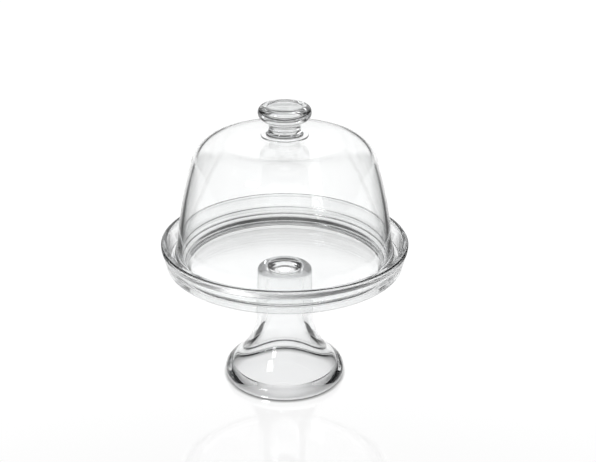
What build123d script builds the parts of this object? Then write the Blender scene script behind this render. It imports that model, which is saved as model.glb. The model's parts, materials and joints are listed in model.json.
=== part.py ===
from build123d import *

import math
import os

# Footed glass cheese dome. A bell with a bonded knob stands on the ledge of a deep-rimmed
# plate, and the plate stands loose on a hollow, trumpet-shaped pedestal. Every piece is turned
# about +Z. The origin is the centre of the ring that stands on the table. Sizes are millimetres.

# Levels above the table
NECK_TOP = 116.0
FLOOR_TOP = 120.0
LEDGE_TOP = 132.0
RIM_TOP = 150.0
CROWN_TOP = 254.2
KNOB_TOP = 283.0

# Pedestal, outside
FOOT_RADIUS = 60.8
FOOT_EDGE = 4.5
FLARE_LEVEL = 70.0
FLARE_BEND = 72.0
FLARE_RADIUS = 28.2
NECK_RADIUS = 26.8
NECK_LIP_ROUND = 3.5

# Pedestal, inside
BORE_RADIUS = 17.5
MOUTH_RADIUS = 52.5
CEILING_RADIUS = 51.5
CEILING_LEVEL = 12.5
BORE_LEVEL = 75.0
MOUTH_ROUND = 1.8

# Plate
RIM_RADIUS = 120.0
RIM_THICKNESS = 6.0
LIP_BAND = 4.5
WAIST_RADIUS = 118.0
WAIST_LEVEL = 139.5
WALL_FOOT_RADIUS = 115.6
WALL_FOOT_LEVEL = 126.8
LEDGE_RADIUS = 111.5
WELL_RADIUS = 97.0
FLOOR_RADIUS = 95.5
BASE_RADIUS = 96.0
BOSS_RADIUS = 16.5
BOSS_DEPTH = 4.5
DISH_RADIUS = 12.0
DISH_DEPTH = 3.5
CREASE_ROUND = 2.4

# Dome
LIP_RADIUS = 107.0
LIP_HEIGHT = 8.0
LIP_ROUND = 2.2
LIP_EDGE_ROUND = 1.0
BELL_RADIUS = 104.8
BELL_GLASS = 4.0
WALL_TILT = 4.2
WALL_BEND = 410.0
SHOULDER_BEND = 30.8
CROWN_BEND = 800.0
PAD_RADIUS = 22.5
PAD_RISE = 0.8
PAD_ROUND = 0.5

# Knob and the adhesive film under it
FILM = 0.3
FILM_MARGIN = 0.4
KNOB_BASE = 17.8
KNOB_WAIST = 14.9
KNOB_HEAD = 25.2
WAIST_BEND = 7.6
WAIST_RISE = 6.2
HEAD_ROUND = 6.5
KNOB_DISH = 16.4
KNOB_DISH_DEPTH = 5.2
KNOB_DISH_WALL = 2.0
KNOB_DISH_ROUND = 1.6


def polar(centre, radius, angle):
    """The point at a radius and an angle, in degrees above horizontal, from a centre."""
    turn = math.radians(angle)
    return (centre[0] + radius * math.cos(turn), centre[1] + radius * math.sin(turn))


def heading(start, end):
    """The angle, in degrees above horizontal, of the way from one point to another."""
    return math.degrees(math.atan2(end[1] - start[1], end[0] - start[0]))


def meeting(first, first_reach, second, second_reach):
    """The outer of the two points at given reaches from two centres."""
    gap = math.dist(first, second)
    shift = (first_reach**2 - second_reach**2 + gap**2) / (2 * gap)
    rise = math.sqrt(first_reach**2 - shift**2)
    way = heading(first, second)
    middle = polar(first, shift, way)
    return max(polar(middle, rise, way + 90), polar(middle, rise, way - 90))


def sweep_arc(centre, radius, start, end):
    """An arc about a centre from one angle to another, in degrees."""
    return CenterArc(centre, radius, start, end - start)


def corners_at(sketch, radius, level):
    """The sketch's corner at a radius and a level."""
    return [v for v in sketch.vertices() if math.dist((v.X, v.Y), (radius, level)) < 0.1]


# --- Pedestal: foot ring, flared skirt, hollow neck ---

flare_centre = (FLARE_RADIUS + FLARE_BEND, FLARE_LEVEL)
# The shoulder's arc keeps to the foot's radius and meets the flare's arc tangentially.
reach = flare_centre[0] - FOOT_RADIUS
rise = FLARE_LEVEL - FOOT_EDGE
shoulder = (reach**2 + rise**2 - FLARE_BEND**2) / (2 * (FLARE_BEND - reach))
shoulder_centre = (FOOT_RADIUS - shoulder, FOOT_EDGE)
shoulder_turn = heading(shoulder_centre, flare_centre)

# The hollow's ceiling is an arc that leaves the bore tangentially.
drop = BORE_LEVEL - CEILING_LEVEL
spread = CEILING_RADIUS - BORE_RADIUS
ceiling_bend = (spread**2 + drop**2) / (2 * spread)
ceiling_centre = (BORE_RADIUS + ceiling_bend, BORE_LEVEL)
ceiling_turn = heading(ceiling_centre, (CEILING_RADIUS, CEILING_LEVEL)) + 360

with BuildPart() as pedestal:
    with BuildSketch(Plane.XZ) as pedestal_section:
        with BuildLine():
            sweep_arc((FOOT_RADIUS - FOOT_EDGE, FOOT_EDGE), FOOT_EDGE, -90, 0)
            sweep_arc(shoulder_centre, shoulder, 0, shoulder_turn)
            sweep_arc(flare_centre, FLARE_BEND, shoulder_turn + 180, 180)
            Polyline(
                (FLARE_RADIUS, FLARE_LEVEL),
                (NECK_RADIUS, NECK_TOP),
                (BORE_RADIUS, NECK_TOP),
                (BORE_RADIUS, BORE_LEVEL),
            )
            sweep_arc(ceiling_centre, ceiling_bend, 180, ceiling_turn)
            Polyline(
                (CEILING_RADIUS, CEILING_LEVEL),
                (MOUTH_RADIUS, 0),
                (FOOT_RADIUS - FOOT_EDGE, 0),
            )
        make_face()
        fillet(corners_at(pedestal_section, NECK_RADIUS, NECK_TOP), NECK_LIP_ROUND)
        fillet(corners_at(pedestal_section, BORE_RADIUS, NECK_TOP), NECK_LIP_ROUND)
        fillet(corners_at(pedestal_section, MOUTH_RADIUS, 0), MOUTH_ROUND)
    revolve(axis=Axis.Z)
pedestal.part.label = "pedestal"


# --- Plate: well, ledge for the bell, flared rim, boss that drops into the neck ---

# Each corner of the outline, with the radius that rounds it.
boss_foot = NECK_TOP - BOSS_DEPTH
plate_outline = [
    ((0, FLOOR_TOP), None),
    ((FLOOR_RADIUS, FLOOR_TOP), 4.0),
    ((WELL_RADIUS, LEDGE_TOP), 2.0),
    ((LEDGE_RADIUS, LEDGE_TOP), 2.5),
    ((RIM_RADIUS - RIM_THICKNESS, RIM_TOP), CREASE_ROUND),
    ((RIM_RADIUS, RIM_TOP), CREASE_ROUND),
    ((RIM_RADIUS, RIM_TOP - LIP_BAND), 10.0),
    ((WAIST_RADIUS, WAIST_LEVEL), 12.0),
    ((WALL_FOOT_RADIUS, WALL_FOOT_LEVEL), 3.5),
    ((BASE_RADIUS, NECK_TOP), 6.0),
    ((BOSS_RADIUS, NECK_TOP), 0.8),
    ((BOSS_RADIUS, boss_foot), 1.8),
    ((DISH_RADIUS, boss_foot), 1.8),
    ((DISH_RADIUS, boss_foot + DISH_DEPTH), 2.5),
    ((0, boss_foot + DISH_DEPTH), None),
]
plate_corners = [corner for corner, _ in plate_outline]
plate_rounds = [round_ for _, round_ in plate_outline if round_]

with BuildPart() as plate:
    with BuildSketch(Plane.XZ):
        with BuildLine():
            FilletPolyline(*plate_corners, radius=plate_rounds)
            Line(plate_corners[-1], plate_corners[0])
        make_face()
    revolve(axis=Axis.Z)
plate.part.label = "plate"


# --- Dome: thick lip, bowed wall, shoulder and nearly flat crown with a pad for the knob ---

lip_top = LEDGE_TOP + LIP_HEIGHT
wall_centre = polar((BELL_RADIUS, lip_top), WALL_BEND, 180 + WALL_TILT)
crown_centre = (0, CROWN_TOP - CROWN_BEND)
bell_centre = meeting(
    wall_centre, WALL_BEND - SHOULDER_BEND, crown_centre, CROWN_BEND - SHOULDER_BEND
)
wall_turn = heading(wall_centre, bell_centre)
crown_turn = heading(crown_centre, bell_centre)
pad_top = CROWN_TOP + PAD_RISE
inner_foot = polar(wall_centre, WALL_BEND - BELL_GLASS, WALL_TILT)


def bell_arcs(inset):
    """The wall, shoulder and crown arcs at a depth below the bell's outer surface."""
    sweep_arc(wall_centre, WALL_BEND - inset, WALL_TILT, wall_turn)
    sweep_arc(bell_centre, SHOULDER_BEND - inset, wall_turn, crown_turn)
    sweep_arc(crown_centre, CROWN_BEND - inset, crown_turn, 90)


with BuildPart() as dome:
    with BuildSketch(Plane.XZ) as dome_section:
        with BuildLine():
            bell_arcs(0)
            bell_arcs(BELL_GLASS)
            Line((0, CROWN_TOP - BELL_GLASS), (0, CROWN_TOP))
            Polyline(
                (BELL_RADIUS, lip_top),
                (LIP_RADIUS, lip_top),
                (LIP_RADIUS, LEDGE_TOP),
                (inner_foot[0], LEDGE_TOP),
                inner_foot,
            )
        make_face()
        fillet(corners_at(dome_section, LIP_RADIUS, lip_top), LIP_ROUND)
        fillet(corners_at(dome_section, LIP_RADIUS, LEDGE_TOP), LIP_ROUND)
        fillet(corners_at(dome_section, inner_foot[0], LEDGE_TOP), LIP_EDGE_ROUND)
    revolve(axis=Axis.Z)
    with BuildSketch(Plane.XY.offset(CROWN_TOP - BELL_GLASS / 2)):
        Circle(PAD_RADIUS)
    extrude(amount=pad_top - CROWN_TOP + BELL_GLASS / 2)
    fillet(dome.edges().filter_by(GeomType.CIRCLE).sort_by(Axis.Z)[-1], PAD_ROUND)
dome.part.label = "dome"


# --- Knob bond: the clear film of adhesive between the pad and the knob ---

with BuildPart() as knob_bond:
    with BuildSketch(Plane.XY.offset(pad_top)):
        Circle(KNOB_BASE - FILM_MARGIN)
    extrude(amount=FILM)
knob_bond.part.label = "knob_bond"


# --- Knob: waisted base and a wide rounded head with a dished top ---

knob_base = pad_top + FILM
head_level = KNOB_TOP - HEAD_ROUND
waist_centre = (KNOB_WAIST + WAIST_BEND, knob_base + WAIST_RISE)
base_edge_angle = 180 + math.degrees(math.acos((waist_centre[0] - KNOB_BASE) / WAIST_BEND))
# The underside of the head is an arc that meets the waist's arc tangentially.
over = waist_centre[0] - KNOB_HEAD
up = head_level - waist_centre[1]
under_round = (over**2 + up**2 - WAIST_BEND**2) / (2 * (WAIST_BEND - over))
under_centre = (KNOB_HEAD - under_round, head_level)
under_turn = heading(under_centre, waist_centre)
crest = (KNOB_HEAD - HEAD_ROUND, head_level)
# The bottom of the dish is a shallow bowl, round about the axis.
bowl = KNOB_DISH_DEPTH - KNOB_DISH_WALL
dish_bend = (KNOB_DISH**2 + bowl**2) / (2 * bowl)
dish_centre = (0, KNOB_TOP - KNOB_DISH_DEPTH + dish_bend)
dish_turn = heading(dish_centre, (KNOB_DISH, KNOB_TOP - KNOB_DISH_WALL))

with BuildPart() as knob:
    with BuildSketch(Plane.XZ) as knob_section:
        with BuildLine():
            sweep_arc(waist_centre, WAIST_BEND, base_edge_angle, 180 + under_turn)
            sweep_arc(under_centre, under_round, under_turn, 0)
            sweep_arc(crest, HEAD_ROUND, 0, 90)
            Polyline(
                (crest[0], KNOB_TOP),
                (KNOB_DISH, KNOB_TOP),
                (KNOB_DISH, KNOB_TOP - KNOB_DISH_WALL),
            )
            sweep_arc(dish_centre, dish_bend, dish_turn, -90)
            Polyline(
                (0, KNOB_TOP - KNOB_DISH_DEPTH),
                (0, knob_base),
                (KNOB_BASE, knob_base),
                polar(waist_centre, WAIST_BEND, base_edge_angle),
            )
        make_face()
        fillet(corners_at(knob_section, KNOB_DISH, KNOB_TOP), KNOB_DISH_ROUND)
    revolve(axis=Axis.Z)
knob.part.label = "knob"


os.makedirs("parts", exist_ok=True)
for piece in (pedestal, plate, dome, knob_bond, knob):
    export_step(piece.part, f"parts/{piece.part.label}.step")
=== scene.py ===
import json
import math

import bmesh
import bpy
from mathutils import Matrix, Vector, noise

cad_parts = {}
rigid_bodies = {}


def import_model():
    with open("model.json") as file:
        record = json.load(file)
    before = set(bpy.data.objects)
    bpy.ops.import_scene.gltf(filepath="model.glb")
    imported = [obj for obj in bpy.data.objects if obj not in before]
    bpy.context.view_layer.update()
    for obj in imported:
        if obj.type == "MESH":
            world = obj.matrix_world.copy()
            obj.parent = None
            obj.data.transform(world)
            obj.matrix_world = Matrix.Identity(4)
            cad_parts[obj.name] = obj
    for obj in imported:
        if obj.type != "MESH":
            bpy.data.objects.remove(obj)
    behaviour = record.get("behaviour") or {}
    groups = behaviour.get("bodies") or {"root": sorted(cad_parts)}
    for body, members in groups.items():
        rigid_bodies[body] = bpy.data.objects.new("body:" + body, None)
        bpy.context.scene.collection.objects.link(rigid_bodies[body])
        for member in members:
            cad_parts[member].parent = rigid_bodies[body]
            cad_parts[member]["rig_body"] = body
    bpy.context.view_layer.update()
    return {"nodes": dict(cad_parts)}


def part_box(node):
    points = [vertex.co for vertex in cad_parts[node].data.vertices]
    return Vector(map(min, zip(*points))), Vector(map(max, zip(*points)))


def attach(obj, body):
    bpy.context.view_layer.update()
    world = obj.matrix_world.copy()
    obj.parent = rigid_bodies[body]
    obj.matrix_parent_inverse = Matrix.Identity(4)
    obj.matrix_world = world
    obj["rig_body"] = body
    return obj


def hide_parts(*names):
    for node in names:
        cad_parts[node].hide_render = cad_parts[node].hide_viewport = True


# Footed glass cheese dome. Metres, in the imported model's frame: +Z up, origin on the table.

for stray in list(bpy.data.objects):
    bpy.data.objects.remove(stray)
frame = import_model()
scene = bpy.context.scene

MM = 0.001
WHITE = (1, 1, 1, 1)

# Camera: a long lens looking down on the stand from its front.
LENS = 61.0
SENSOR = 36.0
CAMERA_BACK = 0.900
CAMERA_UP = 0.5492
CAMERA_DIP = 23.59
FRAME_SHIFT = 0.0223
CAMERA_REACH = 100

# Turned pieces: columns round the axis, and the largest turn and run of one outline step.
COLUMNS = 264
TURN_STEP = math.radians(3)
RUN_STEP = 6 * MM

# A point that turns less lies on a straight stretch; an edge that turns more stays sharp.
FLAT_TURN = math.radians(0.05)
CREASE = math.radians(30)

# Points this close are one point, or lie on the plane or the axis that they are tested for.
SAME_POINT = 1e-6
SAME_DIGITS = 6
CUT_SLACK = 1e-7
# How much of a normal has to lie in the outline's plane for it to count.
IN_PLANE = 0.9

# The sway that pressing leaves: how deep, and how fast it changes round and up a piece.
SWAY = 0.06 * MM
SWAY_ROUND = 2
SWAY_UP = 18

# Each piece is a hair shorter than in the CAD, so stacked faces never coincide.
AIR = 0.02 * MM

# Glass: its colour, and what its body absorbs.
GLASS_IOR = 1.517
FILM_IOR = 1.49
CLEAR = (0.985, 0.99, 0.99)
BODY_TINT = (0.5, 0.51, 0.52)

# By node: slot, IOR, strength of the waves, roughness of worn patches, density of the body.
GLASSWARE = {
    "pedestal": ("pedestal_glass", GLASS_IOR, 0.05, 0.02, 8),
    "plate": ("plate_glass", GLASS_IOR, 0.04, 0.02, 9),
    "dome": ("dome_glass", GLASS_IOR, 0.03, 0.015, 1),
    "knob_bond": ("bond_film", FILM_IOR, 0.02, 0.03, 10),
    "knob": ("knob_glass", GLASS_IOR, 0.03, 0.015, 5),
}

# Noise scales and heights of the waves and the finer skin, and the worn patches' noise.
WAVE_SCALE, WAVE_DETAIL, WAVE_HEIGHT = 22, 1.5, 0.6 * MM
SKIN_SCALE, SKIN_DETAIL, SKIN_HEIGHT = 260, 2, 0.02 * MM
PATCH_SCALE, PATCH_DETAIL, PATCH_GRAIN = 55, 5, 0.6
PATCH_SPAN = (0.45, 0.8)

# The dome's resting edge is ground: its roughness, and how high up that fades out.
GROUND = 0.45
GROUND_RISE = 0.5 * MM

# Light that goes straight through keeps this much where it grazes; over what facing it fades.
GRAZE = (0.6, 0.6, 0.61, 1)
GRAZE_SPAN = (0.35, 0.9)

# Brightness of the walls by the turn from straight back, then of the ceiling over them.
WALL_LEVELS = [(0, 0.95), (30, 0.95), (40, 0.02), (140, 0.02), (160, 0.6), (180, 0.6)]
WALL_TOP = (0.48, 0.66)
CEILING = 0.12

# Dark grey below the horizon, fading out just above it; its edge is higher behind.
HORIZON = (-0.03, 0.04)
HORIZON_LEAN = (0, -0.1, 1)
HORIZON_GREY = 0.04

# The dark cards: how far out they lie, and their grey by the turn from straight back.
CARD_REACH = (0.3, 1.8)
CARD_LEVELS = [
    (28, 0.95), (38, 0.08), (60, 0.08), (75, 0.95), (135, 0.95), (150, 0.7), (180, 0.7)
]
CARD_STEPS = 48
CARD_UP = 8 * MM

# Painted shade on the floor that the glass sees: its grey by the distance from the stand, in
# metres, with a darker ring round the stand.
FLOOR_SHADE_LEVELS = [(0, 0.97), (0.26, 0.97), (0.34, 0.66), (0.42, 0.66), (0.48, 0.97), (1, 0.97)]
FLOOR_REACH = 30.0
FLOOR_CORNERS = 96
FLOOR_ROUGHNESS = 0.15

# What the camera sees of the floor: paper white, a share of mirror image, and a painted contact
# shadow where the glass meets it. The floor that the glass sees gets painted contact shade within
# the near reach.
PAPER = 1.125
FLOOR_MIRROR = 0.2
MIRROR_ROUGHNESS = 0.04
CONTACT_REACH = 3.5 * MM
NEAR_REACH = 8 * MM
CONTACT_SHADE = (0.02, 0.02, 0.02, 1)

OVERHEAD_LIGHT = 3.0
OVERHEAD_SPREAD = 100

# Light inside thick glass bounces many times before it leaves.
GLASS_BOUNCES = 64
GLOSSY_BOUNCES = 12
CLEAR_BOUNCES = 48


# --- Camera ---

def add_camera():
    data = bpy.data.cameras.new("camera")
    data.lens = LENS
    data.sensor_width = SENSOR
    data.shift_x = FRAME_SHIFT
    data.clip_end = CAMERA_REACH
    camera = bpy.data.objects.new("camera", data)
    camera.location = (0, -CAMERA_BACK, CAMERA_UP)
    camera.rotation_euler = (math.radians(90 - CAMERA_DIP), 0, 0)
    scene.collection.objects.link(camera)
    scene.camera = camera


# --- Shader building ---

def new_material(name):
    material = bpy.data.materials.new(name)
    material.use_nodes = True
    material.node_tree.nodes.clear()
    return material, material.node_tree


def add_node(tree, kind, **inputs):
    """A shader node with the inputs named, spaces written as underscores."""
    made = tree.nodes.new(kind)
    for name, value in inputs.items():
        made.inputs[name.replace("_", " ")].default_value = value
    return made


def add_maths(tree, kind, operation, *operands):
    """A math or vector math node whose operands are outputs or plain values."""
    made = tree.nodes.new(kind)
    made.operation = operation
    fill(tree, made, operands)
    return made


def mix(tree, kind, *sources):
    """The mix of two colours or shaders: share, first and second, as outputs or values."""
    made = tree.nodes.new(kind)
    fill(tree, made, sources)
    return made.outputs[0]


def fill(tree, made, sources):
    """Set a node's first inputs in order, each from an output or to a plain value."""
    for socket, source in zip(made.inputs, sources):
        if isinstance(source, bpy.types.NodeSocket):
            tree.links.new(source, socket)
        else:
            socket.default_value = source


def span(tree, source, start, end, first=0, last=1):
    """A value that runs from first to last while the source runs from start to end."""
    made = add_node(
        tree, "ShaderNodeMapRange", From_Min=start, From_Max=end, To_Min=first, To_Max=last
    )
    tree.links.new(source, made.inputs["Value"])
    return made.outputs["Result"]


def grey(level):
    return (level, level, level, 1)


def levels(tree, source, stops):
    """Grey levels along a value from 0 to 1."""
    ramp = tree.nodes.new("ShaderNodeValToRGB")
    bands = ramp.color_ramp.elements
    bands[0].position, bands[1].position = stops[0][0], stops[-1][0]
    for at, _ in stops[1:-1]:
        bands.new(at)
    for band, (_, level) in zip(bands, stops):
        band.color = grey(level)
    tree.links.new(source, ramp.inputs[0])
    return ramp.outputs["Color"]


def grey_by_turn(tree, place, stops):
    """Grey by the turn from straight back, the same to the left and to the right."""
    ahead = add_node(tree, "ShaderNodeMapping", Rotation=(0, 0, math.radians(-90)))
    turn = tree.nodes.new("ShaderNodeTexGradient")
    turn.gradient_type = "RADIAL"
    tree.links.new(place, ahead.inputs["Vector"])
    tree.links.new(ahead.outputs["Vector"], turn.inputs["Vector"])
    off = add_maths(tree, "ShaderNodeMath", "SUBTRACT", turn.outputs["Fac"], 0.5)
    either = add_maths(tree, "ShaderNodeMath", "ABSOLUTE", off.outputs["Value"])
    return levels(tree, either.outputs["Value"], [(at / 360, level) for at, level in stops])


# --- Glass materials ---

def ripple(tree, place, scale, detail, strength, height, below=None):
    """Unevenness of the surface, as a bump on top of another one."""
    waves = add_node(tree, "ShaderNodeTexNoise", Scale=scale, Detail=detail)
    bump = add_node(tree, "ShaderNodeBump", Strength=strength, Distance=height)
    tree.links.new(place, waves.inputs["Vector"])
    tree.links.new(waves.outputs["Fac"], bump.inputs["Height"])
    if below:
        tree.links.new(below, bump.inputs["Normal"])
    return bump.outputs["Normal"]


def polish(tree, place, wear):
    """Roughness that stays near zero and rises a little in soft patches."""
    patches = add_node(
        tree, "ShaderNodeTexNoise", Scale=PATCH_SCALE, Detail=PATCH_DETAIL, Roughness=PATCH_GRAIN
    )
    tree.links.new(place, patches.inputs["Vector"])
    return span(tree, patches.outputs["Fac"], *PATCH_SPAN, 0, wear)


def ground_edge(tree, place, worn, level):
    """Roughness of a ground resting edge at a level, fading into the given one above it."""
    split = tree.nodes.new("ShaderNodeSeparateXYZ")
    tree.links.new(place, split.inputs[0])
    ground = span(tree, split.outputs["Z"], level, level + GROUND_RISE, GROUND, 0)
    return add_maths(tree, "ShaderNodeMath", "MAXIMUM", ground, worn).outputs["Value"]


def let_light_through(tree, glass):
    """Light on its way to a dull surface goes straight through, less of it where it grazes."""
    path = tree.nodes.new("ShaderNodeLightPath")
    facing = add_node(tree, "ShaderNodeLayerWeight", Blend=0.5)
    share = span(tree, facing.outputs["Facing"], *GRAZE_SPAN)
    through = tree.nodes.new("ShaderNodeBsdfTransparent")
    colour = mix(tree, "ShaderNodeMixRGB", share, WHITE, GRAZE)
    tree.links.new(colour, through.inputs["Color"])
    shader = glass.outputs[0]
    for ray in ("Is Shadow Ray", "Is Diffuse Ray"):
        shader = mix(tree, "ShaderNodeMixShader", path.outputs[ray], shader, through.outputs[0])
    return shader


def clear_glass(name, ior, waves, wear, density, ground_at=None):
    """Fire-polished clear glass: faint waves, a fine skin, and polish that varies a little."""
    material, tree = new_material(name)
    place = tree.nodes.new("ShaderNodeTexCoord").outputs["Object"]
    long_waves = ripple(tree, place, WAVE_SCALE, WAVE_DETAIL, waves, WAVE_HEIGHT)
    skin = ripple(tree, place, SKIN_SCALE, SKIN_DETAIL, waves / 2, SKIN_HEIGHT, long_waves)
    rough = polish(tree, place, wear)
    if ground_at is not None:
        rough = ground_edge(tree, place, rough, ground_at)
    glass = add_node(
        tree, "ShaderNodeBsdfPrincipled", IOR=ior, Transmission_Weight=1, Base_Color=(*CLEAR, 1)
    )
    tree.links.new(rough, glass.inputs["Roughness"])
    tree.links.new(skin, glass.inputs["Normal"])
    body = add_node(tree, "ShaderNodeVolumeAbsorption", Color=(*BODY_TINT, 1), Density=density)
    output = tree.nodes.new("ShaderNodeOutputMaterial")
    tree.links.new(let_light_through(tree, glass), output.inputs["Surface"])
    tree.links.new(body.outputs[0], output.inputs["Volume"])
    return material


# --- Turned pieces: a CAD node's own outline, smoothed and swept finely round the axis ---

def flat_key(co):
    return (round(co.x, SAME_DIGITS), round(co.z, SAME_DIGITS))


def seam_normals(cad):
    """The CAD surface's own normals, by the point where they stand, in the plane Y = 0."""
    found = {}
    corner_normals = cad.data.corner_normals
    for loop in cad.data.loops:
        co = cad.data.vertices[loop.vertex_index].co
        if abs(co.y) < SAME_POINT and co.x > -SAME_POINT:
            normal = corner_normals[loop.index].vector
            flat = Vector((normal.x, normal.z))
            if flat.length > IN_PLANE:
                found.setdefault(flat_key(co), []).append(flat.normalized())
    return found


def section_pairs(cad):
    """The node's outline in the half plane Y = 0, X > 0, as pairs of joined points."""
    cut = bmesh.new()
    cut.from_mesh(cad.data)
    bmesh.ops.remove_doubles(cut, verts=cut.verts, dist=SAME_POINT)
    result = bmesh.ops.bisect_plane(
        cut,
        geom=cut.verts[:] + cut.edges[:] + cut.faces[:],
        dist=CUT_SLACK,
        plane_co=(0, 0, 0),
        plane_no=(0, 1, 0),
    )
    pairs = set()
    for edge in result["geom_cut"]:
        if isinstance(edge, bmesh.types.BMEdge):
            ends = [v.co for v in edge.verts]
            if min(co.x for co in ends) > -SAME_POINT:
                pairs.add(tuple(sorted(flat_key(co) for co in ends)))
    cut.free()
    return [pair for pair in pairs if pair[0] != pair[1]]


def in_order(pairs):
    """The outline's points in order, and whether it closes on itself or ends on the axis."""
    around = {}
    for a, b in pairs:
        around.setdefault(a, set()).add(b)
        around.setdefault(b, set()).add(a)
    ends = sorted((p for p in around if len(around[p]) == 1), key=lambda p: p[1])
    order = [ends[0] if ends else min(around, key=lambda p: (p[1], -p[0]))]
    seen = set(order)
    while True:
        onward = sorted(around[order[-1]] - seen, key=lambda p: -p[0])
        if not onward:
            break
        order.append(onward[0])
        seen.add(onward[0])
    return order, not ends


def without_flats(points, closed):
    """The outline without points that lie on a straight stretch."""
    kept = []
    for i, point in enumerate(points):
        at_end = not closed and i in (0, len(points) - 1)
        before = Vector(kept[-1] if kept else points[i - 1])
        after = Vector(points[(i + 1) % len(points)])
        here = Vector(point)
        if at_end or (here - before).angle(after - here, 0) > FLAT_TURN:
            kept.append(point)
    return kept


def leaving(normals, way):
    """The outline's direction at a point, for the side on which it heads the given way."""
    if not normals:
        return way
    normal = min(normals, key=lambda n: abs(n.dot(way)))
    along = Vector((-normal.y, normal.x))
    along *= math.copysign(1, along.dot(way))
    return along if along.angle(way) < CREASE else way


def smooth_run(start, end, leave, arrive):
    """Points from start towards end on the curve that has the given end directions."""
    gap = (end - start).length
    turn = leave.angle(arrive)
    steps = max(1, math.ceil(turn / TURN_STEP), math.ceil(gap / RUN_STEP))
    run = []
    for i in range(steps):
        t = i / steps
        run.append(
            (2 * t**3 - 3 * t**2 + 1) * start
            + (t**3 - 2 * t**2 + t) * gap * leave
            + (3 * t**2 - 2 * t**3) * end
            + (t**3 - t**2) * gap * arrive
        )
    return run


def outline(cad):
    """The node's outline as an even, smooth row of points, and whether it is closed."""
    normals = seam_normals(cad)
    points, closed = in_order(section_pairs(cad))
    points = without_flats(points, closed)
    row = []
    for i in range(len(points) if closed else len(points) - 1):
        start, end = points[i], points[(i + 1) % len(points)]
        way = (Vector(end) - Vector(start)).normalized()
        leave = leaving(normals.get(start), way)
        arrive = leaving(normals.get(end), way)
        row += smooth_run(Vector(start), Vector(end), leave, arrive)
    if not closed:
        row.append(Vector(points[-1]))
    return row, closed


def ring_at(mesh, reach, height):
    """One row of vertices round the axis, swaying inwards, or one vertex on the axis."""
    if reach < SAME_POINT:
        return [mesh.verts.new((0, 0, height))] * COLUMNS
    ring = []
    for column in range(COLUMNS):
        angle = math.tau * column / COLUMNS
        way = Vector((math.cos(angle), math.sin(angle), 0))
        lean = noise.noise(Vector((way.x * SWAY_ROUND, way.y * SWAY_ROUND, height * SWAY_UP)))
        radius = reach - SWAY * (0.5 + 0.5 * lean)
        ring.append(mesh.verts.new((way.x * radius, way.y * radius, height)))
    return ring


def bridge(mesh, lower, upper):
    """Faces between two rings; where one of them is a single vertex, they are triangles."""
    for i in range(COLUMNS):
        j = (i + 1) % COLUMNS
        corners = []
        for vert in (lower[i], lower[j], upper[j], upper[i]):
            if vert not in corners:
                corners.append(vert)
        mesh.faces.new(corners)


def turned_piece(node_name):
    """A fine, evenly meshed copy of a CAD node, with the slight sway that pressing leaves."""
    cad = frame["nodes"][node_name]
    row, closed = outline(cad)
    low = min(point.y for point in row)
    tall = max(point.y for point in row) - low
    mesh = bmesh.new()
    rings = []
    for point in row:
        height = low + (point.y - low) * (1 - AIR / tall)
        rings.append(ring_at(mesh, point.x, height))
    for lower, upper in zip(rings, rings[1:]):
        bridge(mesh, lower, upper)
    if closed:
        bridge(mesh, rings[-1], rings[0])
    bmesh.ops.recalc_face_normals(mesh, faces=mesh.faces)
    for edge in mesh.edges:
        edge.smooth = edge.calc_face_angle(0) < CREASE
    for face in mesh.faces:
        face.smooth = True
    data = bpy.data.meshes.new(node_name + "_turned")
    mesh.to_mesh(data)
    mesh.free()
    piece = bpy.data.objects.new(node_name + "_glass", data)
    scene.collection.objects.link(piece)
    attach(piece, cad["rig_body"])
    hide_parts(node_name)
    return piece


def build_glassware():
    for node_name, (slot, ior, waves, wear, density) in GLASSWARE.items():
        piece = turned_piece(node_name)
        ground_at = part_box("dome")[0][2] if node_name == "dome" else None
        look = clear_glass(slot + "_look", ior, waves, wear, density, ground_at)
        piece.data.materials.append(look)


# --- Studio: white floor, walls and cards for the glass to see, soft lights ---

def white_acrylic():
    """Polished white acrylic. The camera sees it paper white with a faint mirror image and a
    painted contact shadow. The glass sees it lit, with painted shade near the glass and in a ring
    round the stand.
    """
    material, tree = new_material("white_acrylic")
    # Painted shade: ambient occlusion darkens the floor's colour near the glass, both in the floor
    # that the glass sees and in the camera's paper white.
    near = add_node(tree, "ShaderNodeAmbientOcclusion", Distance=NEAR_REACH)
    contact = add_node(tree, "ShaderNodeAmbientOcclusion", Distance=CONTACT_REACH)
    place = tree.nodes.new("ShaderNodeTexCoord").outputs["Object"]
    away = add_maths(tree, "ShaderNodeVectorMath", "LENGTH", place)
    # Painted shade: the floor's colour turns darker in a ring round the stand, as its shadow.
    painted_shade_ring = levels(tree, away.outputs["Value"], FLOOR_SHADE_LEVELS)
    shaded = mix(tree, "ShaderNodeMixRGB", near.outputs["AO"], CONTACT_SHADE, painted_shade_ring)
    lit = add_node(tree, "ShaderNodeBsdfPrincipled", Roughness=FLOOR_ROUGHNESS)
    tree.links.new(shaded, lit.inputs["Base Color"])
    # Painted contact shadow seen by the camera: a thin dark line on the paper white where the foot
    # meets the floor.
    paper_contact_shadow = mix(tree, "ShaderNodeMixRGB", contact.outputs["AO"], CONTACT_SHADE, WHITE)
    paper = add_node(tree, "ShaderNodeEmission", Strength=PAPER)
    tree.links.new(paper_contact_shadow, paper.inputs["Color"])
    mirror = add_node(tree, "ShaderNodeBsdfGlossy", Roughness=MIRROR_ROUGHNESS)
    seen = mix(
        tree, "ShaderNodeMixShader", FLOOR_MIRROR, paper.outputs[0], mirror.outputs[0]
    )
    path = tree.nodes.new("ShaderNodeLightPath")
    output = tree.nodes.new("ShaderNodeOutputMaterial")
    surface = mix(
        tree, "ShaderNodeMixShader", path.outputs["Is Camera Ray"], lit.outputs[0], seen
    )
    tree.links.new(surface, output.inputs["Surface"])
    return material


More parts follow.
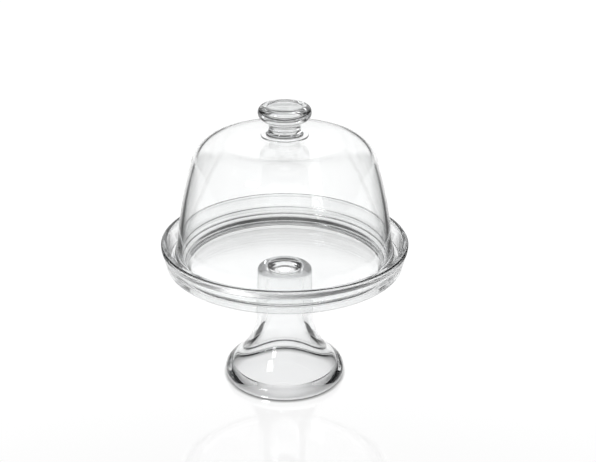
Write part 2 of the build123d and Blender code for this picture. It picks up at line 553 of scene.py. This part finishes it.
def add_floor():
    sheet = bmesh.new()
    bmesh.ops.create_circle(sheet, cap_ends=True, segments=FLOOR_CORNERS, radius=FLOOR_REACH)
    data = bpy.data.meshes.new("floor")
    sheet.to_mesh(data)
    sheet.free()
    data.materials.append(white_acrylic())
    floor = bpy.data.objects.new("floor", data)
    floor.location.z = -AIR
    scene.collection.objects.link(floor)


def soft_card():
    """Matt card whose grey changes softly with the turn about the stand's axis."""
    material, tree = new_material("soft_card")
    place = tree.nodes.new("ShaderNodeTexCoord").outputs["Object"]
    matt = tree.nodes.new("ShaderNodeBsdfDiffuse")
    output = tree.nodes.new("ShaderNodeOutputMaterial")
    tree.links.new(grey_by_turn(tree, place, CARD_LEVELS), matt.inputs["Color"])
    tree.links.new(matt.outputs[0], output.inputs["Surface"])
    return material


def add_flag(name, side):
    """A card lying along one side of the stand, from behind it to its front."""
    first, last = CARD_LEVELS[0][0], CARD_LEVELS[-1][0]
    card = bmesh.new()
    rows = []
    for step in range(CARD_STEPS + 1):
        turn = math.radians(first + (last - first) * step / CARD_STEPS)
        way = Vector((side * math.sin(turn), math.cos(turn), 0))
        rows.append([card.verts.new(way * reach + Vector((0, 0, CARD_UP))) for reach in CARD_REACH])
    for near, far in zip(rows, rows[1:]):
        card.faces.new((near[0], near[1], far[1], far[0]))
    data = bpy.data.meshes.new(name)
    card.to_mesh(data)
    card.free()
    data.materials.append(soft_card())
    flag = bpy.data.objects.new(name, data)
    # Neither the camera nor a reflection sees the card.
    flag.visible_camera = False
    flag.visible_glossy = False
    scene.collection.objects.link(flag)


def add_surroundings():
    """A white wall behind the stand, dark walls beside it, and a dim ceiling."""
    world = bpy.data.worlds.new("studio")
    scene.world = world
    world.use_nodes = True
    tree = world.node_tree
    tree.nodes.clear()
    place = tree.nodes.new("ShaderNodeTexCoord").outputs["Generated"]
    split = tree.nodes.new("ShaderNodeSeparateXYZ")
    tree.links.new(place, split.inputs[0])
    height = add_maths(tree, "ShaderNodeVectorMath", "DOT_PRODUCT", place, HORIZON_LEAN)
    wall = grey_by_turn(tree, place, WALL_LEVELS)
    clear = span(tree, height.outputs["Value"], *HORIZON)
    above = span(tree, split.outputs["Z"], *WALL_TOP)
    banded = mix(tree, "ShaderNodeMixRGB", clear, grey(HORIZON_GREY), wall)
    around = mix(tree, "ShaderNodeMixRGB", above, banded, grey(CEILING))
    room = tree.nodes.new("ShaderNodeBackground")
    tree.links.new(around, room.inputs["Color"])
    paper = add_node(tree, "ShaderNodeBackground", Color=WHITE)
    path = tree.nodes.new("ShaderNodeLightPath")
    output = tree.nodes.new("ShaderNodeOutputWorld")
    surface = mix(
        tree,
        "ShaderNodeMixShader",
        path.outputs["Is Camera Ray"],
        room.outputs[0],
        paper.outputs[0],
    )
    tree.links.new(surface, output.inputs["Surface"])


def add_overhead():
    """A wide soft light straight above, as even over the whole floor as a ceiling."""
    data = bpy.data.lights.new("overhead", "SUN")
    data.energy = OVERHEAD_LIGHT
    data.angle = math.radians(OVERHEAD_SPREAD)
    lamp = bpy.data.objects.new("overhead", data)
    lamp.visible_glossy = False
    lamp.visible_transmission = False
    scene.collection.objects.link(lamp)


def add_softbox(name, place, aim, width, height, watts):
    data = bpy.data.lights.new(name, "AREA")
    data.shape = "RECTANGLE"
    data.size, data.size_y = width, height
    data.energy = watts
    lamp = bpy.data.objects.new(name, data)
    lamp.location = place
    lamp.rotation_euler = (Vector(aim) - Vector(place)).to_track_quat("-Z", "Y").to_euler()
    scene.collection.objects.link(lamp)


def set_up_renderer():
    scene.view_settings.view_transform = "Standard"
    scene.cycles.max_bounces = GLASS_BOUNCES
    scene.cycles.transmission_bounces = GLASS_BOUNCES
    scene.cycles.glossy_bounces = GLOSSY_BOUNCES
    scene.cycles.transparent_max_bounces = CLEAR_BOUNCES
    scene.cycles.use_denoising = True


add_camera()
build_glassware()
add_floor()
add_flag("left_card", -1)
add_flag("right_card", 1)
add_surroundings()
add_overhead()
add_softbox(
    "front_left", place=(-1.0, -1.1, 1.1), aim=(0, 0, 0.15), width=0.4, height=0.5, watts=6
)
set_up_renderer()
